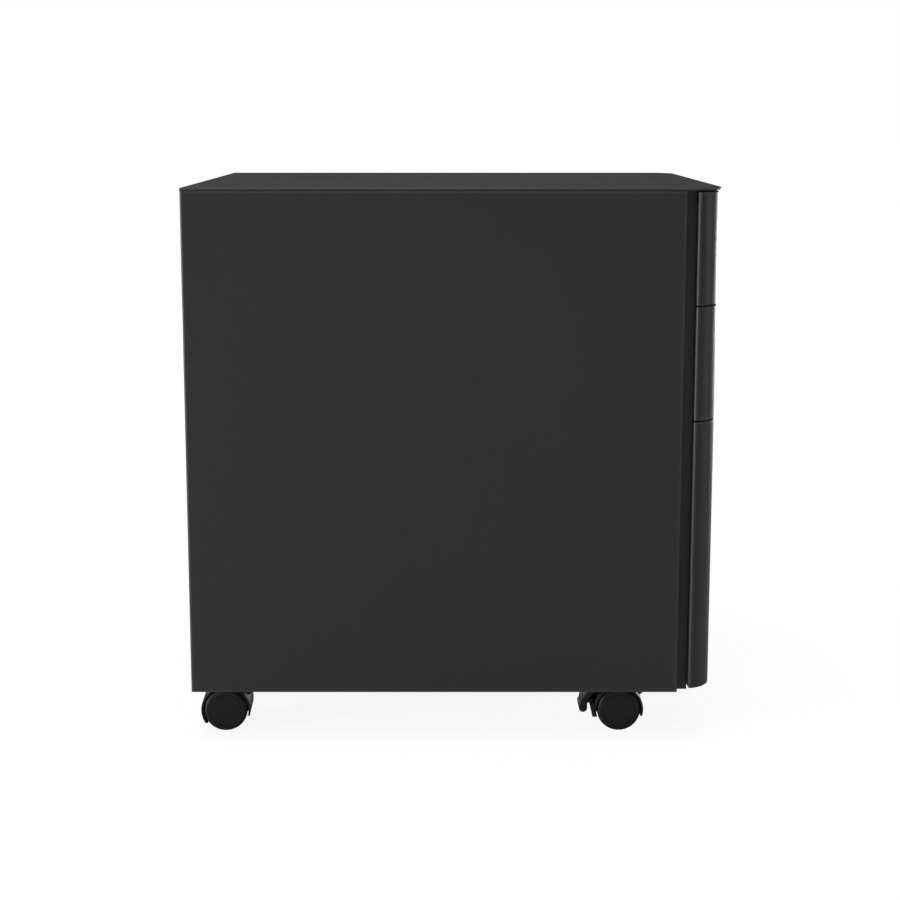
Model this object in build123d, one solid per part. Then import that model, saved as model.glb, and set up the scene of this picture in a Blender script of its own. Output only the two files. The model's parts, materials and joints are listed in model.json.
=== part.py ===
from build123d import *
import math
import os

# A mobile steel pedestal with two box drawers and one file drawer on four twin-wheel castors.
# Millimetres. X runs across, the drawers open towards -Y, +Z is up, and the floor is Z = 0.

# Overall size
WIDTH = 390.0
DEPTH = 520.0
HEIGHT = 552.0
HALF_WIDTH = WIDTH / 2
REAR_Y = DEPTH / 2
FRONT_Y = -DEPTH / 2

# Sheet metal
SHEET = 1.0
FRONT_SHEET = 1.2
BASE_SHEET = 1.5
BEND_R = 2.0
EDGE_R = 0.5

# Carcass
TOP_THICKNESS = 2.5
TOP_CORNER_R = 28.0
TOP_EDGE_R = 0.8
CARCASS_BOTTOM = 51.5
CARCASS_TOP = HEIGHT - TOP_THICKNESS
FOLD_Y = -223.5
CHANNEL_DEPTH = 10.5
CHANNEL_END_Y = -234.2
REAR_FLANGE = 15.0
BASE_BOTTOM = 54.0
BASE_FLANGE = 15.0
BASE_FRONT_Y = CHANNEL_END_Y
BASE_FRONT_FLANGE = 7.0
CORNER_RELIEF = 1.2
BACK_BOTTOM = 57.0
BACK_EDGE_GAP = 3.5
RAIL_FRONT_Y = -233.0
RAIL_HEIGHT = 30.0
RAIL_TOP_FLANGE = 11.0
RAIL_BOTTOM_FLANGE = 14.0
UPRIGHT_WIDTH = 20.0
UPRIGHT_BOTTOM = 72.0
UPRIGHT_TOP = 545.0
UPRIGHT_FRONT_Y = -188.0
UPRIGHT_REAR_Y = 196.0
INNER_X = HALF_WIDTH - SHEET
CHANNEL_X = HALF_WIDTH - CHANNEL_DEPTH
SLIDE_WALL_X = CHANNEL_X - SHEET

# Screws
SCREW_SHANK_R = 1.75
SCREW_HEAD_R = 3.6
SCREW_HEAD = 2.2
SCREW_REACH = 5.0
HOLE_CLEARANCE = 0.1
RECESS_LENGTH = 4.0
RECESS_WIDTH = 0.8
RECESS_DEPTH = 0.7
BACK_SCREW_X = HALF_WIDTH - 8.5
BACK_SCREW_Z = (90.0, 230.0, 370.0, 510.0)
BACK_SCREW_LENGTH = 8.0
TOP_SCREW_X = HALF_WIDTH - 7.5
TOP_SCREW_Y = (-190.0, 190.0)

# Drawer fronts
FRONT_LIP_Y = -234.5
FRONT_FACE_Y = -257.5
FRONT_CORNER_R = 26.5
LIP_WIDTH = 4.5
LIP_R = 2.0
LINER_X = CHANNEL_X
LINER_BACK_Y = FRONT_LIP_Y
LINER_END_GAP = 0.3
DRAWER_GAP = 1.5
FRONT_TOP = CARCASS_TOP - DRAWER_GAP
GAP_1_Z = 438.5
GAP_2_Z = 325.8
FRONT_BOTTOM = 55.8
FRONT_SPANS = {
    1: (GAP_1_Z + DRAWER_GAP / 2, FRONT_TOP),
    2: (GAP_2_Z + DRAWER_GAP / 2, GAP_1_Z - DRAWER_GAP / 2),
    3: (FRONT_BOTTOM, GAP_2_Z - DRAWER_GAP / 2),
}

# Drawer bodies: bottom, top and slide centre height of each
SLIDE_THICKNESS = 12.7
BODY_X = SLIDE_WALL_X - SLIDE_THICKNESS
BODY_FRONT_Y = LINER_BACK_Y
BODY_REAR_Y = 205.0
BODY_SPANS = {1: (444.0, 515.0), 2: (331.0, 416.0), 3: (66.0, 305.0)}
SLIDE_Z = {1: 466.0, 2: 353.0, 3: 176.0}
HEM_HEIGHT = 8.0
FRONT_SCREW_X = 140.0
FRONT_SCREW_INSET_Z = 16.0

# Telescopic slides: Y span, half height and reach of the flanges of each member
OUTER_SPAN = (-231.0, 219.0)
MID_SPAN = (-229.0, 205.0)
INNER_SPAN = (-233.0, 205.0)
MEMBER_SHEET = 1.2
OUTER_HALF = 22.8
MID_HALF = 19.6
INNER_HALF = 16.4
OUTER_REACH = 9.0
MID_REACH = 8.5
INNER_REACH = 7.8
MID_WEB_X = SLIDE_WALL_X - 2.2

# Inserts
TRAY_FRONT_Y = -229.0
TRAY_REAR_Y = -112.0
TRAY_HALF_X = 168.0
TRAY_HEIGHT = 26.0
TRAY_WALL = 1.8
TRAY_CORNER_R = 4.0
TRAY_POCKET_R = 3.0
TRAY_DIVIDERS = (-60.0, 60.0)
FILE_RAIL_TOP = 12.0
FILE_RAIL_THICKNESS = 2.0
FILE_RAIL_END_GAP = 12.0

# Lock and lock bar
LOCK_X = 140.0
LOCK_Z = 532.0
LOCK_FACE_Y = -258.3
LOCK_HOUSING_R = 9.5
LOCK_HOLE_R = 10.3
LOCK_HOUSING_REAR_Y = -216.0
LOCK_PLUG_R = 6.4
LOCK_PLUG_FIT = 0.08
LOCK_PLUG_SETBACK = 0.4
KEYWAY_DEPTH = 14.0
KEYWAY_HALF_WIDTH = 1.0
KEYWAY_HALF_HEIGHT = 3.8
LOCK_NUT_R = 13.0
LOCK_NUT_THICKNESS = 4.0
LOCK_NUT_BELOW = 9.3
CAM_FRONT_Y = -215.5
CAM_THICKNESS = 2.0
CAM_PIN_RADIUS = 8.0
CAM_PIN_R = 2.0
CAM_REST_ANGLE = -45.0
BAR_X = (186.0, 188.0)
BAR_Y = (-215.0, -207.0)
BAR_BOTTOM = 85.0
BAR_HEAD_Y = (-211.5, -209.5)
BAR_HEAD_HALF = 8.0
BAR_HEAD_LEFT_X = 138.0
BAR_SLOT_GAP = 0.5
TAB_INNER_X = 172.0
TAB_Y = (-211.0, -208.0)
TAB_HEIGHT = 10.0
TAB_GAP_Z = 1.5
CATCH_X = 178.0
CATCH_Y = (-206.5, -200.5)
CATCH_HEIGHT = 9.0
CATCH_Z = {1: 503.0, 2: 392.0, 3: 215.0}
GUIDE_Z = (105.0, 265.0, 433.0)
GUIDE_HEIGHT = 12.0
GUIDE_GAP = 0.5
GUIDE_WALL = 3.0
GUIDE_X = (SLIDE_WALL_X + 0.4, INNER_X)

# Castors
STEM_X = 146.0
STEM_FRONT_Y = -186.0
STEM_REAR_Y = 214.0
TRAIL = 17.0
WHEEL_R = 22.0
WHEEL_WIDTH = 15.0
WEB_HALF = 5.0
WHEEL_SIDE_GAP = 0.6
SHOULDER_R = 4.0
FACE_GROOVE = 0.6
FACE_GROOVE_R = 16.5
HUB_WALL = 2.2
AXLE_END_GAP = 0.3
HOOD_R = 25.0
HOOD_HALF = 19.4
HOOD_GAP = 0.9
HOOD_LEADING_Z = 15.6
HOOD_TRAILING_Z = {True: 14.6, False: 8.4}
BOSS_R = 9.0
BOSS_BOTTOM = 34.0
BOSS_TOP = 50.5
PIN_R = 3.0
PIN_BOTTOM = 33.0
RUNNING_FIT = 0.06
AXLE_HOLE_FIT = 0.025
COLLAR_R = 9.0
COLLAR_BOTTOM = 51.0
STUD_R = 5.0
STUD_TOP = 64.0
STUD_CHAMFER = 1.0
NUT_FLAT = 17.0
NUT_HEIGHT = 7.0
CASTORS = {
    "front_left": (-STEM_X, STEM_FRONT_Y, 0.0, True),
    "front_right": (STEM_X, STEM_FRONT_Y, -14.0, True),
    "rear_left": (-STEM_X, STEM_REAR_Y, 2.0, False),
    "rear_right": (STEM_X, STEM_REAR_Y, 24.0, False),
}

# Brake lever, measured from the wheel centre towards the trailing side and upwards
LEVER_PIVOT = (14.5, 25.2)
LEVER_EYE_R = 3.4
LEVER_HALF = 12.0
LEVER_OUTSIDE = ((24.0, 23.4), (31.6, 15.4), (36.9, 8.0), (38.3, 2.6))
LEVER_TIP = (34.9, -4.9)
LEVER_INSIDE = ((31.4, -1.4), (31.4, 4.4), (29.6, 10.0), (24.6, 16.6), (18.5, 21.0))
TRUNNION_R = 1.5
TRUNNION_HALF = 8.0
RIB_HALF = 4.0
RIB_OUTER_R = 30.6
RIB_START = 8.0
RIB_END = 62.0
BULGE_R = 27.6
BULGE_START = -17.0
BULGE_END = 14.0
SLOT_HALF = 4.6
SLOT_R = 34.5
SHOE_X = (7.0, 11.5)
SHOE_Y = (25.6, 32.5)
SHOE_Z = (4.6, 8.6)
WINDOW_MARGIN = 1.2
WINDOW_Y = (HOOD_R - 6.0, RIB_OUTER_R)
WINDOW_Z = (1.5, 11.0)


def block(x_span, y_span, z_span):
    """A box given by its two ends along each axis."""
    size = [span[1] - span[0] for span in (x_span, y_span, z_span)]
    middle = [(span[0] + span[1]) / 2 for span in (x_span, y_span, z_span)]
    return Pos(*middle) * Box(*size)


def rod_x(radius, x_span, y, z):
    """A cylinder along X."""
    length = x_span[1] - x_span[0]
    return Pos((x_span[0] + x_span[1]) / 2, y, z) * Rot(0, 90, 0) * Cylinder(radius, length)


def rod_y(radius, y_span, x, z):
    """A cylinder along Y."""
    length = y_span[1] - y_span[0]
    return Pos(x, (y_span[0] + y_span[1]) / 2, z) * Rot(90, 0, 0) * Cylinder(radius, length)


def rod_z(radius, z_span, x, y):
    """A cylinder along Z."""
    length = z_span[1] - z_span[0]
    return Pos(x, y, (z_span[0] + z_span[1]) / 2) * Cylinder(radius, length)


def mirrored(shape):
    """The same piece on the other side of the cabinet."""
    return mirror(shape, about=Plane.YZ)


def save(shape, node):
    """Write one node, whether it is one solid or a group of separate ones."""
    solids = []
    for item in shape if isinstance(shape, list) else [shape]:
        solids.extend(item.solids())
    result = solids[0] if len(solids) == 1 else Compound(children=solids)
    export_step(result, f"parts/{node}.step")


# ---------------------------------------------------------------- screws

def cross_recess(x, face_y, z, inward):
    """Cross slot in a screw head whose face looks along Y; inward is the way the slot goes in."""
    y_span = sorted((face_y, face_y + inward * RECESS_DEPTH))
    long_half = RECESS_LENGTH / 2
    thin_half = RECESS_WIDTH / 2
    wide = block((x - long_half, x + long_half), y_span, (z - thin_half, z + thin_half))
    tall = block((x - thin_half, x + thin_half), y_span, (z - long_half, z + long_half))
    return wide + tall


def back_screw(x, z, grow=0.0):
    """A countersunk screw, flush with the back of the side panel's rear flange."""
    cone = Cone(SCREW_SHANK_R + grow, SCREW_HEAD_R + grow, SHEET)
    head = Pos(x, REAR_Y - SHEET / 2, z) * Rot(-90, 0, 0) * cone
    shank = rod_y(SCREW_SHANK_R + grow, (REAR_Y - BACK_SCREW_LENGTH, REAR_Y), x, z)
    screw = head + shank
    return screw if grow else screw - cross_recess(x, REAR_Y, z, -1)


def top_screw(x, y, grow=0.0):
    """A screw that holds the top panel down from inside."""
    flange_bottom = CARCASS_TOP - SHEET
    shank_top = CARCASS_TOP + TOP_THICKNESS / 2
    shank = rod_z(SCREW_SHANK_R + grow, (flange_bottom - SCREW_HEAD, shank_top), x, y)
    head = rod_z(SCREW_HEAD_R, (flange_bottom - SCREW_HEAD, flange_bottom), x, y)
    return shank if grow else head + shank


def screw_places(x, seconds):
    return [(side * x, second) for side in (-1, 1) for second in seconds]


# ---------------------------------------------------------------- carcass

def side_pan(inset, inner_x, bend_r):
    """A block whose outward face has rounded edges, as the outside or the inside of the side panel."""
    pan = block(
        (-HALF_WIDTH + inset, inner_x),
        (FOLD_Y + inset, REAR_Y - inset),
        (CARCASS_BOTTOM + inset, CARCASS_TOP - inset))
    return fillet(pan.faces().sort_by(Axis.X)[0].edges(), bend_r)


def side_panel():
    """Left side: a pan with rounded bends, a rear flange, and the step that forms the finger channel."""
    z_span = (CARCASS_BOTTOM, CARCASS_TOP)
    panel = side_pan(0.0, -SLIDE_WALL_X, BEND_R) - side_pan(SHEET, 0.0, BEND_R - SHEET)
    panel += block((-SLIDE_WALL_X, -HALF_WIDTH + REAR_FLANGE), (REAR_Y - SHEET, REAR_Y), z_span)
    panel += block((-CHANNEL_X, -SLIDE_WALL_X), (CHANNEL_END_Y, FOLD_Y + SHEET), z_span)
    channel_corner = panel.edges().filter_by(Axis.Z).sort_by_distance((-CHANNEL_X, FOLD_Y, HEIGHT / 2))[0]
    panel = fillet(channel_corner, SHEET)
    for z in BACK_SCREW_Z:
        panel -= back_screw(-BACK_SCREW_X, z, HOLE_CLEARANCE)
    for y in TOP_SCREW_Y:
        panel -= top_screw(-TOP_SCREW_X, y, HOLE_CLEARANCE)
    return panel


def top_panel():
    """Flat top with square rear corners and rounded front corners."""
    plate = block((-HALF_WIDTH, HALF_WIDTH), (FRONT_Y, REAR_Y), (CARCASS_TOP, HEIGHT))
    front_corners = plate.edges().filter_by(Axis.Z).group_by(Axis.Y)[0]
    plate = fillet(front_corners, TOP_CORNER_R)
    rear_corners = plate.edges().filter_by(Axis.Z).group_by(Axis.Y)[-1]
    plate = fillet(rear_corners, TOP_EDGE_R)
    rims = plate.faces().sort_by(Axis.Z)
    plate = fillet(rims[-1].edges() + rims[0].edges(), TOP_EDGE_R)
    for x, y in screw_places(TOP_SCREW_X, TOP_SCREW_Y):
        plate -= top_screw(x, y, HOLE_CLEARANCE)
    return plate


def back_panel():
    x = HALF_WIDTH - BACK_EDGE_GAP
    sheet = block((-x, x), (REAR_Y - 2 * SHEET, REAR_Y - SHEET), (BACK_BOTTOM, CARCASS_TOP - 2 * SHEET))
    for x, z in screw_places(BACK_SCREW_X, BACK_SCREW_Z):
        sheet -= back_screw(x, z, HOLE_CLEARANCE)
    return sheet


def stem_places():
    return [(x, y) for x, y, yaw, braked in CASTORS.values()]


def base_pan():
    """Bottom pan with turned-up edges and four castor holes."""
    floor_z = (BASE_BOTTOM, BASE_BOTTOM + BASE_SHEET)
    wall_z = (BASE_BOTTOM, BASE_BOTTOM + BASE_FLANGE)
    rear = REAR_Y - 2 * SHEET
    step_y = FOLD_Y + SHEET + CORNER_RELIEF
    pan = block((-INNER_X, INNER_X), (step_y, rear), floor_z)
    pan += block((-SLIDE_WALL_X, SLIDE_WALL_X), (BASE_FRONT_Y, step_y), floor_z)
    pan += block((-INNER_X, INNER_X), (rear - BASE_SHEET, rear), wall_z)
    pan += block((-INNER_X, -INNER_X + BASE_SHEET), (step_y, rear), wall_z)
    pan += block((INNER_X - BASE_SHEET, INNER_X), (step_y, rear), wall_z)
    lip_z = (BASE_BOTTOM, BASE_BOTTOM + BASE_FRONT_FLANGE)
    lip_y = (BASE_FRONT_Y, BASE_FRONT_Y + BASE_SHEET)
    pan += block((-SLIDE_WALL_X, SLIDE_WALL_X), lip_y, lip_z)
    for x, y in stem_places():
        pan -= rod_z(STUD_R + HOLE_CLEARANCE, floor_z, x, y)
    return pan


def front_top_rail():
    """Channel across the front, under the top, that carries the lock."""
    x_span = (-SLIDE_WALL_X, SLIDE_WALL_X)
    z_top = CARCASS_TOP
    z_low = z_top - RAIL_HEIGHT
    web_y = (RAIL_FRONT_Y, RAIL_FRONT_Y + SHEET)
    rail = block(x_span, web_y, (z_low, z_top))
    rail += block(x_span, (RAIL_FRONT_Y, RAIL_FRONT_Y + RAIL_TOP_FLANGE), (z_top - SHEET, z_top))
    rail += block(x_span, (RAIL_FRONT_Y, RAIL_FRONT_Y + RAIL_BOTTOM_FLANGE), (z_low, z_low + SHEET))
    rail -= rod_y(LOCK_HOUSING_R + HOLE_CLEARANCE, (RAIL_FRONT_Y, RAIL_FRONT_Y + SHEET), LOCK_X, LOCK_Z)
    return rail


def slide_upright(y_centre):
    """Left slide support, a channel between the side panel and the slides."""
    y_span = (y_centre - UPRIGHT_WIDTH / 2, y_centre + UPRIGHT_WIDTH / 2)
    z_span = (UPRIGHT_BOTTOM, UPRIGHT_TOP)
    whole = block((-INNER_X, -SLIDE_WALL_X), y_span, z_span)
    hollow_y = (y_span[0] + SHEET, y_span[1] - SHEET)
    return whole - block((-INNER_X, -SLIDE_WALL_X - SHEET), hollow_y, z_span)


def slide_uprights():
    """The four slide supports, front and rear on each side."""
    left = [slide_upright(y) for y in (UPRIGHT_FRONT_Y, UPRIGHT_REAR_Y)]
    return left + [mirrored(piece) for piece in left]


def carcass_screws():
    screws = [back_screw(x, z) for x, z in screw_places(BACK_SCREW_X, BACK_SCREW_Z)]
    screws += [top_screw(x, y) for x, y in screw_places(TOP_SCREW_X, TOP_SCREW_Y)]
    return screws


# ---------------------------------------------------------------- slides

def channel_member(web_x, reach, half_height, y_span, z):
    """Left slide member: an upright web with a flange along each edge."""
    inward = 1 if reach > 0 else -1
    web = block(sorted((web_x, web_x + inward * MEMBER_SHEET)), y_span, (z - half_height, z + half_height))
    flange_x = sorted((web_x, web_x + reach))
    lower = block(flange_x, y_span, (z - half_height, z - half_height + MEMBER_SHEET))
    upper = block(flange_x, y_span, (z + half_height - MEMBER_SHEET, z + half_height))
    return web + lower + upper


def slide_members(number):
    """Outer, middle and inner members of the left slide of one drawer."""
    z = SLIDE_Z[number]
    outer = channel_member(-SLIDE_WALL_X, OUTER_REACH, OUTER_HALF, OUTER_SPAN, z)
    middle = channel_member(-MID_WEB_X, MID_REACH, MID_HALF, MID_SPAN, z)
    inner = channel_member(-BODY_X, -INNER_REACH, INNER_HALF, INNER_SPAN, z)
    return outer, middle, inner


# ---------------------------------------------------------------- drawers

def front_outline(inset, back_y):
    """Plan outline of a drawer front: straight across, with both front corners rounded."""
    centre_x = HALF_WIDTH - FRONT_CORNER_R
    centre_y = FRONT_FACE_Y + FRONT_CORNER_R
    radius = FRONT_CORNER_R - inset
    side_x = centre_x + math.sqrt(radius ** 2 - (centre_y - back_y) ** 2)
    face_y = centre_y - radius
    diagonal = radius * math.sqrt(0.5)
    edges = [
        Line((side_x, back_y), (-side_x, back_y)),
        ThreePointArc((-side_x, back_y), (-centre_x - diagonal, centre_y - diagonal), (-centre_x, face_y)),
        Line((-centre_x, face_y), (centre_x, face_y)),
        ThreePointArc((centre_x, face_y), (centre_x + diagonal, centre_y - diagonal), (side_x, back_y)),
    ]
    return make_face(edges)


def prism(face, z_span):
    return Pos(0, 0, z_span[0]) * extrude(face, amount=z_span[1] - z_span[0], dir=(0, 0, 1))


def drawer_front(number):
    """Hollow front: curved ends that finish in a lip for the fingers, open at the back."""
    low, high = FRONT_SPANS[number]
    outline = front_outline(0.0, FRONT_LIP_Y)
    back_corners = outline.vertices().group_by(Axis.Y)[-1]
    outline = fillet(back_corners, LIP_R)
    shell = prism(outline, (low, high))
    rims = shell.faces().filter_by(Axis.Z)
    shell = fillet([edge for rim in rims for edge in rim.edges()], EDGE_R)
    inner_z = (low + FRONT_SHEET, high - FRONT_SHEET)
    shell -= prism(front_outline(FRONT_SHEET, FRONT_LIP_Y - FRONT_SHEET), inner_z)
    opening_x = HALF_WIDTH - LIP_WIDTH
    shell -= block((-opening_x, opening_x), (FRONT_LIP_Y - 2 * FRONT_SHEET, FRONT_LIP_Y), inner_z)
    if number == 1:
        shell -= rod_y(LOCK_HOLE_R, (FRONT_FACE_Y, FRONT_FACE_Y + 2 * FRONT_SHEET), LOCK_X, LOCK_Z)
    return shell


def front_screw_places(number):
    low, high = BODY_SPANS[number]
    rows = (low + FRONT_SCREW_INSET_Z, high - FRONT_SCREW_INSET_Z)
    return [(side * FRONT_SCREW_X, z) for side in (-1, 1) for z in rows]


def front_screw(x, z, grow=0.0):
    """Pan-head screw from inside the drawer into its front."""
    wall_y = BODY_FRONT_Y + SHEET
    shank = rod_y(SCREW_SHANK_R + grow, (wall_y - SCREW_REACH, wall_y), x, z)
    head = rod_y(SCREW_HEAD_R, (wall_y, wall_y + SCREW_HEAD), x, z)
    return shank if grow else head + shank - cross_recess(x, wall_y + SCREW_HEAD, z, -1)


def drawer_liner(number):
    """Inner plate with forward flanges, which closes the front behind the finger pockets."""
    low, high = FRONT_SPANS[number]
    z_span = (low + FRONT_SHEET, high - FRONT_SHEET)
    plate_front_y = LINER_BACK_Y - SHEET
    liner = prism(front_outline(FRONT_SHEET + LINER_END_GAP, LINER_BACK_Y), z_span)
    liner &= block((-LINER_X, LINER_X), (FRONT_FACE_Y, LINER_BACK_Y), z_span)
    liner -= block((-LINER_X + SHEET, LINER_X - SHEET), (FRONT_FACE_Y, plate_front_y), z_span)
    for x, z in front_screw_places(number):
        liner -= front_screw(x, z, HOLE_CLEARANCE)
    if number == 1:
        liner -= rod_y(LOCK_HOLE_R, (plate_front_y, LINER_BACK_Y), LOCK_X, LOCK_Z)
    return liner


def drawer_body(number):
    """Steel tray with hemmed side walls."""
    low, high = BODY_SPANS[number]
    y_span = (BODY_FRONT_Y, BODY_REAR_Y)
    body = block((-BODY_X, BODY_X), y_span, (low, high))
    inner_y = (y_span[0] + SHEET, y_span[1] - SHEET)
    body -= block((-BODY_X + SHEET, BODY_X - SHEET), inner_y, (low + SHEET, high))
    for side in (-1, 1):
        hem_x = sorted((side * (BODY_X - SHEET), side * (BODY_X - 2 * SHEET)))
        body += block(hem_x, inner_y, (high - HEM_HEIGHT, high))
    for x, z in front_screw_places(number):
        body -= front_screw(x, z, HOLE_CLEARANCE)
    return body


def drawer_catch(number):
    """Steel stud on the right side wall, which the lock bar holds back."""
    return block((BODY_X, CATCH_X), CATCH_Y, (CATCH_Z[number], CATCH_Z[number] + CATCH_HEIGHT))


def pencil_tray():
    """Moulded tray with three compartments, standing in the top drawer."""
    low = BODY_SPANS[1][0] + SHEET
    z_span = (low, low + TRAY_HEIGHT)
    tray = block((-TRAY_HALF_X, TRAY_HALF_X), (TRAY_FRONT_Y, TRAY_REAR_Y), z_span)
    tray = fillet(tray.edges().filter_by(Axis.Z), TRAY_CORNER_R)
    walls = [-TRAY_HALF_X + TRAY_WALL / 2, *TRAY_DIVIDERS, TRAY_HALF_X - TRAY_WALL / 2]
    for left, right in zip(walls, walls[1:]):
        pocket = block(
            (left + TRAY_WALL / 2, right - TRAY_WALL / 2),
            (TRAY_FRONT_Y + TRAY_WALL, TRAY_REAR_Y - TRAY_WALL),
            (low + TRAY_WALL, z_span[1]))
        pocket = fillet(pocket.edges().filter_by(Axis.Z), TRAY_POCKET_R)
        tray -= pocket
    return tray


def file_rails():
    """Two rails for hanging files, each standing on a hemmed side wall of the file drawer."""
    high = BODY_SPANS[3][1]
    inner = BODY_X - 2 * SHEET
    y_span = (BODY_FRONT_Y + FILE_RAIL_END_GAP, BODY_REAR_Y - FILE_RAIL_END_GAP)
    web_x = (inner - FILE_RAIL_THICKNESS, inner)
    web = block(web_x, y_span, (high - HEM_HEIGHT, high + FILE_RAIL_TOP))
    cap = block((inner, BODY_X), y_span, (high, high + FILE_RAIL_THICKNESS))
    rail = web + cap
    return [rail, mirrored(rail)]


# ---------------------------------------------------------------- lock

def lock_housing():
    y_span = (LOCK_FACE_Y, LOCK_HOUSING_REAR_Y)
    barrel = rod_y(LOCK_HOUSING_R, y_span, LOCK_X, LOCK_Z)
    front_rim = barrel.edges().filter_by(GeomType.CIRCLE).group_by(Axis.Y)[0]
    barrel = fillet(front_rim, EDGE_R)
    return barrel - rod_y(LOCK_PLUG_R + LOCK_PLUG_FIT, y_span, LOCK_X, LOCK_Z)


def lock_nut():
    """Hexagon nut behind the rail, trimmed to fit between the rail's flanges."""
    y_low = RAIL_FRONT_Y + SHEET
    y_span = (y_low, y_low + LOCK_NUT_THICKNESS)
    hexagon = extrude(RegularPolygon(LOCK_NUT_R, 6), amount=LOCK_NUT_THICKNESS / 2, both=True)
    nut = Pos(LOCK_X, sum(y_span) / 2, LOCK_Z) * Rot(90, 0, 0) * hexagon
    nut &= block((0, WIDTH), y_span, (LOCK_Z - LOCK_NUT_BELOW, CARCASS_TOP - SHEET))
    return nut - rod_y(LOCK_HOUSING_R + HOLE_CLEARANCE, y_span, LOCK_X, LOCK_Z)


def lock_plug():
    """Turning plug with an upright keyway."""
    y_span = (LOCK_FACE_Y + LOCK_PLUG_SETBACK, CAM_FRONT_Y)
    plug = rod_y(LOCK_PLUG_R, y_span, LOCK_X, LOCK_Z)
    keyway = block(
        (LOCK_X - KEYWAY_HALF_WIDTH, LOCK_X + KEYWAY_HALF_WIDTH),
        (y_span[0], y_span[0] + KEYWAY_DEPTH),
        (LOCK_Z - KEYWAY_HALF_HEIGHT, LOCK_Z + KEYWAY_HALF_HEIGHT))
    return plug - keyway


def cam_pin_offset():
    angle = math.radians(CAM_REST_ANGLE)
    return CAM_PIN_RADIUS * math.cos(angle), CAM_PIN_RADIUS * math.sin(angle)


def lock_cam():
    """Lever on the back of the plug, with the pin that lifts the lock bar."""
    y_span = (CAM_FRONT_Y, CAM_FRONT_Y + CAM_THICKNESS)
    dx, dz = cam_pin_offset()
    disc = rod_y(LOCK_PLUG_R, y_span, LOCK_X, LOCK_Z)
    eye = rod_y(2 * CAM_PIN_R, y_span, LOCK_X + dx, LOCK_Z + dz)
    pin = rod_y(CAM_PIN_R, (y_span[0], BAR_HEAD_Y[1] + CAM_THICKNESS), LOCK_X + dx, LOCK_Z + dz)
    flat = Box(CAM_PIN_RADIUS, CAM_THICKNESS, 4 * CAM_PIN_R)
    arm = Pos(LOCK_X + dx / 2, sum(y_span) / 2, LOCK_Z + dz / 2) * Rot(0, -CAM_REST_ANGLE, 0) * flat
    return disc + arm + eye + pin


def lock_bar():
    """Upright bar, a slotted head over the cam pin, and one welded tab for each drawer."""
    dx, dz = cam_pin_offset()
    head_z = LOCK_Z + dz
    head_span = (head_z - BAR_HEAD_HALF, head_z + BAR_HEAD_HALF)
    bar = block(BAR_X, BAR_Y, (BAR_BOTTOM, head_span[1]))
    head = block((BAR_HEAD_LEFT_X, BAR_X[0]), BAR_HEAD_Y, head_span)
    slot_x = (LOCK_X + dx - CAM_PIN_R - BAR_SLOT_GAP, LOCK_X + CAM_PIN_RADIUS + CAM_PIN_R + BAR_SLOT_GAP)
    slot_half = CAM_PIN_R + BAR_SLOT_GAP
    head -= block(slot_x, BAR_HEAD_Y, (head_z - slot_half, head_z + slot_half))
    tops = [catch_z - TAB_GAP_Z for catch_z in CATCH_Z.values()]
    tabs = [block((TAB_INNER_X, BAR_X[0]), TAB_Y, (top - TAB_HEIGHT, top)) for top in tops]
    return [bar, head, *tabs]


def lock_bar_guides():
    """Three steel saddles on the side panel that keep the bar upright."""
    guides = []
    for z in GUIDE_Z:
        z_span = (z, z + GUIDE_HEIGHT)
        outer = block(GUIDE_X, (BAR_Y[0] - GUIDE_WALL, BAR_Y[1] + GUIDE_WALL), z_span)
        slot_x = (BAR_X[0] - GUIDE_GAP, BAR_X[1] + GUIDE_GAP)
        slot_y = (BAR_Y[0] - GUIDE_GAP, BAR_Y[1] + GUIDE_GAP)
        guides.append(outer - block(slot_x, slot_y, z_span))
    return guides


# ---------------------------------------------------------------- castors

def castor_stem(x, y):
    """Swivel pin, collar and threaded stud, fixed to the base pan."""
    pin = rod_z(PIN_R, (PIN_BOTTOM, COLLAR_BOTTOM), x, y)
    collar = rod_z(COLLAR_R, (COLLAR_BOTTOM, BASE_BOTTOM), x, y)
    stud = rod_z(STUD_R, (BASE_BOTTOM, STUD_TOP), x, y)
    return pin + collar + chamfer(stud.edges().group_by(Axis.Z)[-1], STUD_CHAMFER)


def stem_nut(x, y):
    z_low = BASE_BOTTOM + BASE_SHEET
    nut = extrude(RegularPolygon(NUT_FLAT / 2, 6, major_radius=False), amount=NUT_HEIGHT)
    return Pos(x, y, z_low) * nut - rod_z(STUD_R + HOLE_CLEARANCE, (z_low, z_low + NUT_HEIGHT), x, y)


def ring_sector(radius, start, end, half_width):
    """A pie slice about the wheel centre, in the plane of the wheel."""
    steps = [math.radians(start), math.radians((start + end) / 2), math.radians(end)]
    rim = [(radius * math.cos(angle), radius * math.sin(angle)) for angle in steps]
    face = make_face([Line((0, 0), rim[0]), ThreePointArc(*rim), Line(rim[2], (0, 0))])
    return wheel_plane(extrude(face, amount=half_width, both=True))


def wheel_plane(shape):
    """Turn a shape drawn in XY so that X is the trailing direction and Y is up."""
    return Pos(0, TRAIL, WHEEL_R) * Rot(0, 0, 90) * Rot(90, 0, 0) * shape


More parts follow.
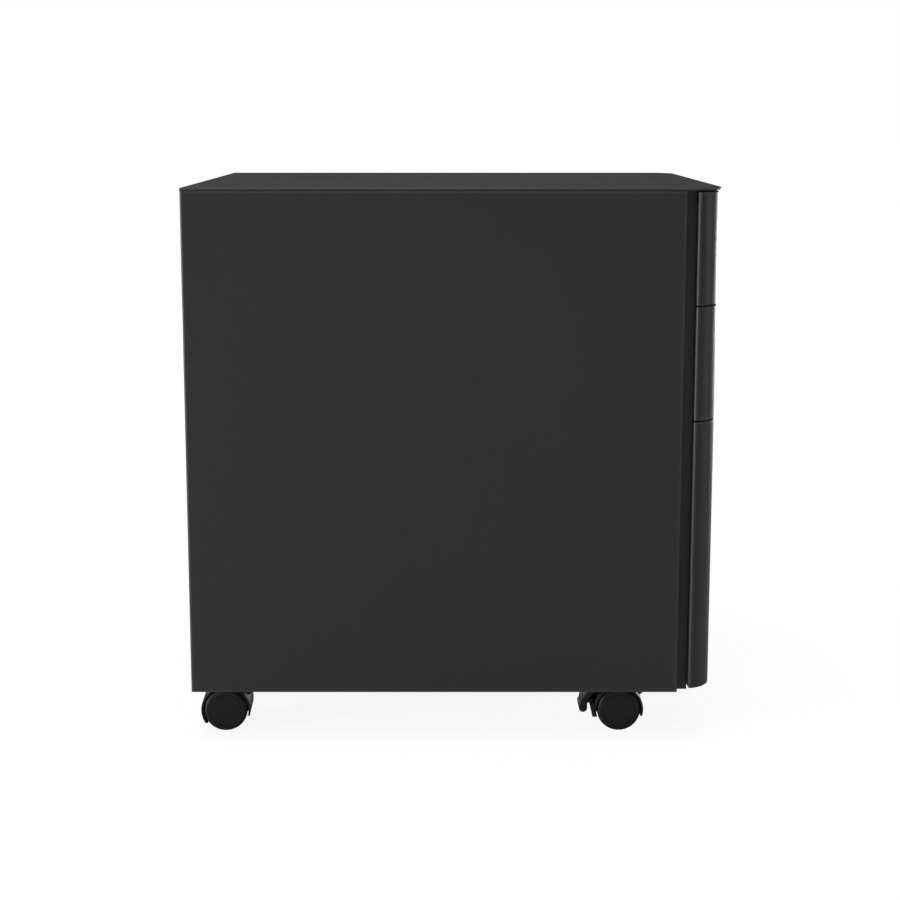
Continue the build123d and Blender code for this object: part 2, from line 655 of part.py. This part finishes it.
def castor_hood(braked):
    """Moulded body: centre web, mudguard over both wheels and boss for the swivel pin."""
    half = (-HOOD_HALF, HOOD_HALF)
    hood = rod_x(HOOD_R, half, TRAIL, WHEEL_R)
    hood = fillet(hood.edges().filter_by(GeomType.CIRCLE), TOP_EDGE_R)
    hood += rod_z(BOSS_R, (BOSS_BOTTOM, BOSS_TOP), 0, 0)
    if braked:
        hood += ring_sector(BULGE_R, BULGE_START, BULGE_END, HOOD_HALF)
        hood += ring_sector(RIB_OUTER_R, RIB_START, RIB_END, RIB_HALF)
    for side in (-1, 1):
        x_span = sorted((side * WEB_HALF, side * (HOOD_HALF + 1)))
        hood -= rod_x(WHEEL_R + HOOD_GAP, x_span, TRAIL, WHEEL_R)
    reach = TRAIL + 2 * HOOD_R
    hood -= block((-reach, reach), (-reach, TRAIL), (-reach, HOOD_LEADING_Z))
    hood -= block((-reach, reach), (TRAIL, reach), (-reach, HOOD_TRAILING_Z[braked]))
    hood -= rod_x(PIN_R + AXLE_HOLE_FIT, half, TRAIL, WHEEL_R)
    hood -= rod_z(PIN_R + RUNNING_FIT, (PIN_BOTTOM - 1, BOSS_TOP), 0, 0)
    if braked:
        pivot_y = TRAIL + LEVER_PIVOT[0]
        pivot_z = WHEEL_R + LEVER_PIVOT[1]
        hood += rod_x(TRUNNION_R, (-TRUNNION_HALF, TRUNNION_HALF), pivot_y, pivot_z)
        window_y = (TRAIL + WINDOW_Y[0], TRAIL + WINDOW_Y[1])
        window_z = (WHEEL_R + WINDOW_Z[0], WHEEL_R + WINDOW_Z[1])
        for x_span in shoe_spans(WINDOW_MARGIN):
            hood -= block(x_span, window_y, window_z)
    return hood


def shoe_spans(grow=0.0):
    low, high = SHOE_X[0] - grow, SHOE_X[1] + grow
    return [(low, high), (-high, -low)]


def castor_axle():
    half = WEB_HALF + WHEEL_SIDE_GAP + WHEEL_WIDTH - HUB_WALL - AXLE_END_GAP
    axle = rod_x(PIN_R, (-half, half), TRAIL, WHEEL_R)
    return chamfer(axle.edges().filter_by(GeomType.CIRCLE), EDGE_R)


def castor_wheel(side):
    """One of the two wheels, dished on its outer face, with a blind bore for the axle."""
    inner = WEB_HALF + WHEEL_SIDE_GAP
    outer = inner + WHEEL_WIDTH
    wheel = rod_x(WHEEL_R, (inner, outer), TRAIL, WHEEL_R)
    rims = wheel.edges().filter_by(GeomType.CIRCLE).sort_by(Axis.X)
    wheel = fillet(rims[-1], SHOULDER_R)
    inner_rim = wheel.edges().filter_by(GeomType.CIRCLE).sort_by(Axis.X)[0]
    wheel = fillet(inner_rim, TOP_EDGE_R)
    groove_x = (outer - FACE_GROOVE, outer)
    groove = rod_x(FACE_GROOVE_R, groove_x, TRAIL, WHEEL_R)
    groove -= rod_x(FACE_GROOVE_R - FACE_GROOVE, groove_x, TRAIL, WHEEL_R)
    wheel -= groove
    wheel -= rod_x(PIN_R + RUNNING_FIT, (inner, outer - HUB_WALL), TRAIL, WHEEL_R)
    return wheel if side > 0 else mirrored(wheel)


def brake_lever():
    """Foot lever that hooks over the trailing side of the hood, with two brake shoes."""
    px, py = LEVER_PIVOT
    eye_top = (px, py + LEVER_EYE_R)
    eye_bottom = (px, py - LEVER_EYE_R)
    outside = Spline(eye_top, *LEVER_OUTSIDE, tangents=[(1, 0), (0, -1)])
    tip = ThreePointArc(LEVER_OUTSIDE[-1], LEVER_TIP, LEVER_INSIDE[0])
    inside = Polyline(*LEVER_INSIDE, eye_bottom)
    eye = ThreePointArc(eye_bottom, (px - LEVER_EYE_R, py), eye_top)
    profile = make_face([outside, tip, *inside.edges(), eye])
    lever = wheel_plane(extrude(profile, amount=LEVER_HALF, both=True))
    for x_span in shoe_spans():
        y_span = (TRAIL + SHOE_Y[0], TRAIL + SHOE_Y[1])
        lever += block(x_span, y_span, (WHEEL_R + SHOE_Z[0], WHEEL_R + SHOE_Z[1]))
    slot = rod_x(SLOT_R, (-SLOT_HALF, SLOT_HALF), TRAIL, WHEEL_R)
    hole = rod_x(TRUNNION_R + RUNNING_FIT, (-LEVER_HALF, LEVER_HALF), TRAIL + px, WHEEL_R + py)
    return lever - slot - hole


def placed(shape, castor):
    x, y, yaw, braked = CASTORS[castor]
    return Pos(x, y, 0) * Rot(0, 0, yaw) * shape


# ---------------------------------------------------------------- write the nodes

os.makedirs("parts", exist_ok=True)

left_panel = side_panel()
save(left_panel, "side_panel_left")
save(mirrored(left_panel), "side_panel_right")
save(top_panel(), "top_panel")
save(back_panel(), "back_panel")
save(base_pan(), "base_pan")
save(front_top_rail(), "front_top_rail")
save(carcass_screws(), "carcass_screws")
save(slide_uprights(), "slide_uprights")

for number in FRONT_SPANS:
    for member, shape in zip(("outer", "middle", "inner"), slide_members(number)):
        save([shape, mirrored(shape)], f"slides_{number}_{member}")
    save(drawer_front(number), f"drawer_{number}_front")
    save(drawer_liner(number), f"drawer_{number}_liner")
    save(drawer_body(number), f"drawer_{number}_body")
    save(drawer_catch(number), f"drawer_{number}_catch")
    save([front_screw(x, z) for x, z in front_screw_places(number)], f"drawer_{number}_screws")
save(pencil_tray(), "pencil_tray")
save(file_rails(), "file_rails")

save(lock_housing(), "lock_housing")
save(lock_nut(), "lock_nut")
save(lock_plug(), "lock_plug")
save(lock_cam(), "lock_cam")
save(lock_bar(), "lock_bar")
save(lock_bar_guides(), "lock_bar_guides")

save([castor_stem(x, y) for x, y in stem_places()], "castor_stems")
save([stem_nut(x, y) for x, y in stem_places()], "castor_stem_nuts")
for castor, (x, y, yaw, braked) in CASTORS.items():
    save(placed(castor_hood(braked), castor), f"castor_{castor}_hood")
    save(placed(castor_axle(), castor), f"castor_{castor}_axle")
    for wheel_name, side in (("wheel_a", -1), ("wheel_b", 1)):
        save(placed(castor_wheel(side), castor), f"castor_{castor}_{wheel_name}")
    if braked:
        save(placed(brake_lever(), castor), f"castor_{castor}_brake_lever")
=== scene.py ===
import bpy
import json
import math
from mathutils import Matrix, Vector


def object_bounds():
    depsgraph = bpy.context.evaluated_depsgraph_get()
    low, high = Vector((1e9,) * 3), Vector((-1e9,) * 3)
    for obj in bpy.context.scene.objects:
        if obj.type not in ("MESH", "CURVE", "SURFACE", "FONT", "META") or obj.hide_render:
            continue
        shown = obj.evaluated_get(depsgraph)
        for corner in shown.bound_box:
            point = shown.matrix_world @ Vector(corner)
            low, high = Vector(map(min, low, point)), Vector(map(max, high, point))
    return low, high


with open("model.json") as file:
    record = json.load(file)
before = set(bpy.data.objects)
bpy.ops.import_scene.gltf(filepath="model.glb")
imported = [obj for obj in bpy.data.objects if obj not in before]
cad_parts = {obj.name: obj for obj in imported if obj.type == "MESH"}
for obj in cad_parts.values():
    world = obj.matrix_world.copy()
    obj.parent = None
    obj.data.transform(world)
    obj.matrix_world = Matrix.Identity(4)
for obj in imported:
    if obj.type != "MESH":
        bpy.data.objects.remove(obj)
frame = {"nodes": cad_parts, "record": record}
cad_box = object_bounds()

# ---------------------------------------------------------------- numbers

# Radius of the rounded edges in the shading, in metres
EDGE_ROUND = {
    "powder_coat": 0.0009,
    "zinc_steel": 0.0005,
    "bright_steel": 0.0004,
    "black_screw": 0.0003,
    "lock_chrome": 0.0004,
    "plastic": 0.0006,
}
BEVEL_SAMPLES = 4

# Powder coat
COAT_GREYS = (0.0150, 0.0185)
# Lighter grey painted along the coat's edges and folds as a painted highlight, then its reach in
# metres and how fast it sets in
COAT_EDGE_HIGHLIGHT = 0.045
COAT_HIGHLIGHT_REACH = 0.0030
COAT_HIGHLIGHT_GAIN = 0.02
COAT_SPECULAR = 0.42
COAT_ROUGHNESS = (0.46, 0.50)

# Metals
ZINC_COLOURS = ((0.50, 0.52, 0.55), (0.68, 0.69, 0.68))
ZINC_ROUGHNESS = (0.30, 0.39)
STEEL_COLOURS = ((0.42, 0.42, 0.43), (0.58, 0.58, 0.58))
STEEL_ROUGHNESS = (0.24, 0.40)
SCREW_GREYS = (0.03, 0.16)
SCREW_METALLIC = 0.6
SCREW_ROUGHNESS = (0.28, 0.42)
CHROME_COLOURS = ((0.60, 0.60, 0.59), (0.74, 0.74, 0.73))
CHROME_ROUGHNESS = (0.12, 0.26)

# Plastics: darkest and lightest grey, roughness, grain scale and grain strength
PLASTICS = {
    "tray_plastic": ((0.016, 0.022), 0.48, 650.0, 0.25),
    "castor_plastic": ((0.0088, 0.0104), 0.50, 800.0, 0.20),
    "wheel_plastic": ((0.0096, 0.0112), 0.55, 600.0, 0.15),
}
PLASTIC_SPECULAR = 0.24
PLASTIC_ROUGHNESS_SPREAD = 0.06
PLASTIC_RUBBED = 1.9
EDGE_GAIN = 0.3

# Noise patterns, over the object's own metres; a stretch gives one a direction
PATTERNS = {
    "coat_mottle": {"scale": 7.0, "detail": 4.0},
    "coat_smudge": {"scale": 16.0, "detail": 5.0, "rough": 0.6},
    "coat_wave": {"scale": 160.0, "detail": 2.0},
    "coat_peel": {"scale": 900.0, "detail": 2.0},
    "zinc_cloud": {"scale": 38.0, "detail": 4.0, "rough": 0.6},
    "zinc_grain": {"scale": 220.0, "rough": 0.6, "stretch": (1.0, 0.04, 1.0)},
    "steel_cloud": {"scale": 60.0},
    "steel_rings": {"scale": 700.0, "detail": 2.0, "rough": 0.5, "stretch": (0.2, 0.2, 1.0)},
    "screw_speck": {"scale": 900.0},
    "chrome_cloud": {"scale": 90.0},
    "chrome_scratch": {"scale": 500.0, "detail": 4.0, "rough": 0.65, "stretch": (1.0, 1.0, 0.1)},
    "plastic_flow": {"scale": 30.0},
    "plastic_patch": {"scale": 85.0, "detail": 4.0},
    "floor_speck": {"scale": 3.0},
}
PLASTIC_GRAIN_DETAIL = 2.0
NOISE_MIDDLE = (0.3, 0.7)
SCRATCH_MIDDLE = (0.35, 0.7)

# Bumps: strength, and height in metres
BUMPS = {
    "coat_wave": (0.10, 0.0004),
    "coat_peel": (0.22, 0.0002),
    "zinc_grain": (0.07, 0.0002),
    "steel_rings": (0.20, 0.0001),
    "screw_speck": (0.12, 0.0001),
    "chrome_scratch": (0.06, 0.0001),
}
PLASTIC_BUMP_HEIGHT = 0.0002

# Floor and background: the floor glows a little more with the distance from the cabinet
FLOOR_SIZE = 60.0
FLOOR_GLOW = (0.90, 0.995)
FLOOR_GLOW_REACH = (1.0, 3.0)
FLOOR_GREYS = (0.16, 0.17)
FLOOR_BOUNCE = 0.65
FLOOR_ROUGHNESS = 0.9
WORLD_LIGHT = 0.15

# Area lights: place, point aimed at, size in metres, watts
LIGHTS = {
    "overhead": ((-0.2, 0.2, 2.4), (0, 0, 0.3), (2.6, 2.6), 41.5),
    "rear_graze": ((-1.5, 3.8, 0.46), (0, 0, 0.3), (0.7, 0.9), 140.0),
    "front_graze": ((-1.1, -3.8, 0.3), (0, 0, 0.3), (0.7, 1.8), 26.0),
    "side_fill": ((-2.7, -0.3, 0.3), (0, 0, 0.2), (2.2, 0.55), 4.0),
    "drawer_key": ((2.9, -2.2, 0.27), (0, 0, 0.27), (2.0, 0.5), 80.0),
    "right_fill": ((3.4, 0.7, 0.27), (0, 0, 0.27), (2.4, 0.5), 24.0),
}

# Camera: out from the left side, along the depth from the middle, and above the top panel
CAMERA_OUT = 1.513
CAMERA_ALONG = 0.0025
CAMERA_ABOVE = 0.0704
CAMERA_TILT = 8.37
CAMERA_LENS = 63.49
CAMERA_SENSOR = 36.0
CAMERA_SHIFT = -0.115
CAMERA_FAR = 100.0


# ---------------------------------------------------------------- node helpers

# Sockets of a mix node set to colours: they share their names with its other types
MIX_FIRST, MIX_SECOND, MIX_RESULT = 6, 7, 2


class Nodes:
    """A new material and a short way to add and join its nodes."""

    def __init__(self, name):
        self.material = bpy.data.materials.new(name)
        self.material.use_nodes = True
        self.tree = self.material.node_tree
        self.tree.nodes.clear()
        self.shader = self.add("ShaderNodeBsdfPrincipled")
        self.output = self.add("ShaderNodeOutputMaterial")
        self.join(self.shader, "BSDF", self.output, "Surface")
        self.place = self.add("ShaderNodeTexCoord")

    def add(self, kind, **settings):
        node = self.tree.nodes.new(kind)
        for key, value in settings.items():
            setattr(node, key, value)
        return node

    def join(self, source, output, target, socket):
        self.tree.links.new(source.outputs[output], target.inputs[socket])

    def to_shader(self, source, output, socket):
        self.join(source, output, self.shader, socket)

    def pattern(self, name):
        """One of the named noise patterns."""
        return self.noise(**PATTERNS[name])

    def noise(self, scale, detail=3.0, rough=0.55, stretch=None):
        node = self.add("ShaderNodeTexNoise")
        node.inputs["Scale"].default_value = scale
        node.inputs["Detail"].default_value = detail
        node.inputs["Roughness"].default_value = rough
        if stretch:
            mapping = self.add("ShaderNodeMapping")
            mapping.inputs["Scale"].default_value = stretch
            self.join(self.place, "Object", mapping, "Vector")
            self.join(mapping, "Vector", node, "Vector")
        else:
            self.join(self.place, "Object", node, "Vector")
        return node

    def spread(self, source, output, low, high, to_low, to_high):
        """Map a value from one range to another."""
        node = self.add("ShaderNodeMapRange")
        sockets = ("From Min", "From Max", "To Min", "To Max")
        for socket, value in zip(sockets, (low, high, to_low, to_high)):
            node.inputs[socket].default_value = value
        self.join(source, output, node, "Value")
        return node

    def roughness(self, noise, span, middle=NOISE_MIDDLE):
        """Vary the roughness over a span, as a noise goes through its middle range."""
        self.to_shader(self.spread(noise, "Fac", *middle, *span), "Result", "Roughness")

    def mix(self, factor, output, first, second):
        """Mix two colours by a value."""
        node = self.add("ShaderNodeMix", data_type="RGBA")
        node.inputs[MIX_FIRST].default_value = (*first, 1.0)
        node.inputs[MIX_SECOND].default_value = (*second, 1.0)
        self.join(factor, output, node, 0)
        return node

    def rounded(self, radius):
        """Shading normal with small rounded edges."""
        node = self.add("ShaderNodeBevel", samples=BEVEL_SAMPLES)
        node.inputs["Radius"].default_value = radius
        return node

    def edges(self, bevel, gain):
        """How much the rounded normal leaves the true one: near 1 along edges."""
        geometry = self.add("ShaderNodeNewGeometry")
        dot = self.add("ShaderNodeVectorMath", operation="DOT_PRODUCT")
        self.join(bevel, "Normal", dot, 0)
        self.join(geometry, "Normal", dot, 1)
        return self.spread(dot, "Value", 1.0, 1.0 - gain, 0.0, 1.0)

    def edge_wear_and_highlight(self, edge, tone, colour):
        """Base colour that turns to a lighter one along edges: rubbed wear on the plastics, a
        painted highlight on the powder coat.
        """
        node = self.add("ShaderNodeMix", data_type="RGBA")
        node.inputs[MIX_SECOND].default_value = (*colour, 1.0)
        self.join(edge, "Result", node, 0)
        self.join(tone, MIX_RESULT, node, MIX_FIRST)
        self.to_shader(node, MIX_RESULT, "Base Color")

    def bump(self, noise, strength, height, under):
        """Bump from a noise, laid over another normal."""
        node = self.add("ShaderNodeBump")
        node.inputs["Strength"].default_value = strength
        node.inputs["Distance"].default_value = height
        self.join(noise, "Fac", node, "Height")
        self.join(under, "Normal", node, "Normal")
        return node


def grey(value):
    return (value, value, value)


# ---------------------------------------------------------------- materials

def powder_coat():
    """Fine black powder coat: orange-peel bump, faint mottling, and a painted highlight that
    makes its edges and folds a little lighter.
    """
    n = Nodes("powder_coat")
    n.shader.inputs["Metallic"].default_value = 0.0
    n.shader.inputs["Specular IOR Level"].default_value = COAT_SPECULAR
    bevel = n.rounded(EDGE_ROUND["powder_coat"])
    # Painted highlight: the coat's edges and folds turn lighter in colour in place of the
    # highlights that light would give them
    edge = n.edges(n.rounded(COAT_HIGHLIGHT_REACH), COAT_HIGHLIGHT_GAIN)
    mottle = n.pattern("coat_mottle")
    tone = n.mix(mottle, "Fac", grey(COAT_GREYS[0]), grey(COAT_GREYS[1]))
    n.edge_wear_and_highlight(edge, tone, grey(COAT_EDGE_HIGHLIGHT))
    n.roughness(n.pattern("coat_smudge"), COAT_ROUGHNESS)
    coarse = n.bump(n.pattern("coat_wave"), *BUMPS["coat_wave"], bevel)
    fine = n.bump(n.pattern("coat_peel"), *BUMPS["coat_peel"], coarse)
    n.to_shader(fine, "Normal", "Normal")
    return n.material


def zinc_steel():
    """Bright zinc plate with a drawn grain along the part and cloudy passivation."""
    n = Nodes("zinc_steel")
    n.shader.inputs["Metallic"].default_value = 1.0
    bevel = n.rounded(EDGE_ROUND["zinc_steel"])
    cloud = n.pattern("zinc_cloud")
    n.to_shader(n.mix(cloud, "Fac", *ZINC_COLOURS), MIX_RESULT, "Base Color")
    grain = n.pattern("zinc_grain")
    n.roughness(grain, ZINC_ROUGHNESS)
    n.to_shader(n.bump(grain, *BUMPS["zinc_grain"], bevel), "Normal", "Normal")
    return n.material


def turned_steel():
    """Turned bright steel of the castor stems and axles."""
    n = Nodes("bright_steel")
    n.shader.inputs["Metallic"].default_value = 1.0
    bevel = n.rounded(EDGE_ROUND["bright_steel"])
    cloud = n.pattern("steel_cloud")
    n.to_shader(n.mix(cloud, "Fac", *STEEL_COLOURS), MIX_RESULT, "Base Color")
    rings = n.pattern("steel_rings")
    n.roughness(rings, STEEL_ROUGHNESS)
    n.to_shader(n.bump(rings, *BUMPS["steel_rings"], bevel), "Normal", "Normal")
    return n.material


def black_screw():
    """Black zinc on screws, a little shinier than the panels."""
    n = Nodes("black_screw")
    n.shader.inputs["Metallic"].default_value = SCREW_METALLIC
    bevel = n.rounded(EDGE_ROUND["black_screw"])
    edge = n.edges(bevel, EDGE_GAIN)
    tone = n.mix(edge, "Result", grey(SCREW_GREYS[0]), grey(SCREW_GREYS[1]))
    n.to_shader(tone, MIX_RESULT, "Base Color")
    speck = n.pattern("screw_speck")
    n.roughness(speck, SCREW_ROUGHNESS)
    n.to_shader(n.bump(speck, *BUMPS["screw_speck"], bevel), "Normal", "Normal")
    return n.material


def lock_chrome():
    """Nickel-plated lock face with fine turning marks and small scratches."""
    n = Nodes("lock_chrome")
    n.shader.inputs["Metallic"].default_value = 1.0
    bevel = n.rounded(EDGE_ROUND["lock_chrome"])
    cloud = n.pattern("chrome_cloud")
    n.to_shader(n.mix(cloud, "Fac", *CHROME_COLOURS), MIX_RESULT, "Base Color")
    scratch = n.pattern("chrome_scratch")
    n.roughness(scratch, CHROME_ROUGHNESS, SCRATCH_MIDDLE)
    n.to_shader(n.bump(scratch, *BUMPS["chrome_scratch"], bevel), "Normal", "Normal")
    return n.material


def moulded_plastic(name):
    """Moulded black plastic with an eroded texture and slightly rubbed edges."""
    (dark, light), roughness, grain_scale, grain_strength = PLASTICS[name]
    n = Nodes(name)
    n.shader.inputs["Metallic"].default_value = 0.0
    n.shader.inputs["Specular IOR Level"].default_value = PLASTIC_SPECULAR
    bevel = n.rounded(EDGE_ROUND["plastic"])
    edge = n.edges(bevel, EDGE_GAIN)
    tone = n.mix(n.pattern("plastic_flow"), "Fac", grey(dark), grey(light))
    n.edge_wear_and_highlight(edge, tone, grey(light * PLASTIC_RUBBED))
    span = (roughness - PLASTIC_ROUGHNESS_SPREAD, roughness + PLASTIC_ROUGHNESS_SPREAD)
    n.roughness(n.pattern("plastic_patch"), span)
    grain = n.noise(grain_scale, PLASTIC_GRAIN_DETAIL)
    n.to_shader(n.bump(grain, grain_strength, PLASTIC_BUMP_HEIGHT, bevel), "Normal", "Normal")
    return n.material


def give_materials():
    """Put each node's material on it, by the slot that the record names."""
    materials = {
        "powder_coat": powder_coat(),
        "zinc_steel": zinc_steel(),
        "bright_steel": turned_steel(),
        "black_screw": black_screw(),
        "lock_chrome": lock_chrome(),
    }
    for name in PLASTICS:
        materials[name] = moulded_plastic(name)
    slots = {entry["node"]: entry["material_slot"] for entry in frame["record"]["subparts"]}
    for node, obj in frame["nodes"].items():
        obj.data.materials.clear()
        obj.data.materials.append(materials[slots[node]])


# ---------------------------------------------------------------- stage

def camera_only(tree, seen, other):
    """Join one shader for what the camera sees directly and another for all other rays."""
    path = tree.nodes.new("ShaderNodeLightPath")
    mix = tree.nodes.new("ShaderNodeMixShader")
    tree.links.new(path.outputs["Is Camera Ray"], mix.inputs[0])
    tree.links.new(other.outputs[0], mix.inputs[1])
    tree.links.new(seen.outputs[0], mix.inputs[2])
    return mix


def floor_material():
    """A pale, back-lit table top: nearly white to the camera, with a faint soft shadow."""
    n = Nodes("studio_floor")
    n.shader.inputs["Roughness"].default_value = FLOOR_ROUGHNESS
    n.shader.inputs["Specular IOR Level"].default_value = 0.0
    n.shader.inputs["Emission Color"].default_value = (1, 1, 1, 1)
    distance = n.add("ShaderNodeVectorMath", operation="LENGTH")
    n.join(n.place, "Object", distance, 0)
    glow = n.spread(distance, "Value", *FLOOR_GLOW_REACH, *FLOOR_GLOW)
    n.to_shader(glow, "Result", "Emission Strength")
    speck = n.pattern("floor_speck")
    tone = n.mix(speck, "Fac", grey(FLOOR_GREYS[0]), grey(FLOOR_GREYS[1]))
    n.to_shader(tone, MIX_RESULT, "Base Color")
    plain = n.add("ShaderNodeBsdfDiffuse")
    plain.inputs["Color"].default_value = (*grey(FLOOR_BOUNCE), 1.0)
    n.join(camera_only(n.tree, n.shader, plain), 0, n.output, "Surface")
    return n.material


def make_floor():
    """A wide floor at the height of the castor wheels' lowest point."""
    bpy.ops.mesh.primitive_plane_add(size=FLOOR_SIZE, location=(0, 0, cad_box[0].z))
    floor = bpy.context.object
    floor.name = "studio_floor"
    floor.data.materials.append(floor_material())


def area_light(name, place, aim, size, power):
    """A rectangular lamp that the camera does not see, turned to a point."""
    data = bpy.data.lights.new(name, "AREA")
    data.shape = "RECTANGLE"
    data.size, data.size_y = size
    data.energy = power
    light = bpy.data.objects.new(name, data)
    bpy.context.scene.collection.objects.link(light)
    light.location = place
    light.rotation_euler = (Vector(aim) - Vector(place)).to_track_quat("-Z", "Y").to_euler()
    light.visible_camera = False


def make_world():
    """White background for the camera, softer grey light for everything else."""
    world = bpy.data.worlds.new("studio")
    bpy.context.scene.world = world
    world.use_nodes = True
    tree = world.node_tree
    tree.nodes.clear()
    seen = tree.nodes.new("ShaderNodeBackground")
    seen.inputs["Color"].default_value = (1, 1, 1, 1)
    lit = tree.nodes.new("ShaderNodeBackground")
    lit.inputs["Color"].default_value = (1, 1, 1, 1)
    lit.inputs["Strength"].default_value = WORLD_LIGHT
    output = tree.nodes.new("ShaderNodeOutputWorld")
    mix = camera_only(tree, seen, lit)
    tree.links.new(mix.outputs[0], output.inputs["Surface"])


def make_camera():
    """Side view from a little above the top, aimed slightly down."""
    low, high = cad_box
    data = bpy.data.cameras.new("camera")
    data.lens = CAMERA_LENS
    data.sensor_width = CAMERA_SENSOR
    data.shift_y = CAMERA_SHIFT
    data.clip_end = CAMERA_FAR
    camera = bpy.data.objects.new("camera", data)
    bpy.context.scene.collection.objects.link(camera)
    middle_y = (low.y + high.y) / 2
    camera.location = (low.x - CAMERA_OUT, middle_y + CAMERA_ALONG, high.z + CAMERA_ABOVE)
    camera.rotation_euler = (math.radians(90.0 - CAMERA_TILT), 0, -math.pi / 2)
    bpy.context.scene.camera = camera


give_materials()
make_floor()
make_world()
make_camera()
for name, settings in LIGHTS.items():
    area_light(name, *settings)
bpy.context.scene.view_settings.view_transform = "Standard"
